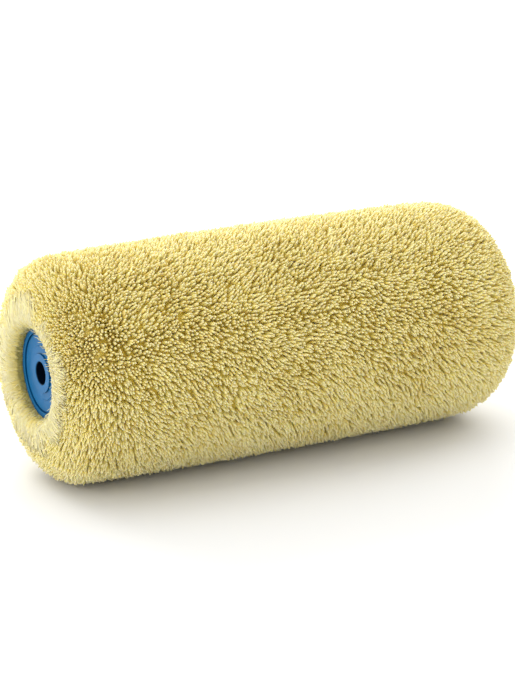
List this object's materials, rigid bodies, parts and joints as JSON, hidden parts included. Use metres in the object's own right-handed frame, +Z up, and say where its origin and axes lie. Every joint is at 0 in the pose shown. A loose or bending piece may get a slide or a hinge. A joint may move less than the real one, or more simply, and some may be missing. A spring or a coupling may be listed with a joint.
{
  "type": "paint roller sleeve",
  "caption": "Long-pile paint roller sleeve on a wound plastic core, with a stepped end cap and wire bore at each end.",
  "frame": {"origin": "middle of the roller on its axis", "axes": "+X along the roller's axis from the left cap to the right cap, +Z up"},
  "size_m": [0.193, 0.084, 0.084],
  "materials": {
    "pile": "texturised yarn tufts with a soft sheen",
    "backing": "knitted",
    "cap_plastic": "moulded, lightly glossy",
    "core_plastic": "extruded strip",
    "adhesive": "melted film"
  },
  "bodies": {
    "root": {"core_inner_strip": "core_plastic", "core_outer_strip": "core_plastic", "adhesive_film": "adhesive", "pile_backing": "backing", "pile": "pile", "left_end_cap": "cap_plastic", "right_end_cap": "cap_plastic"}
  },
  "joints": []
}
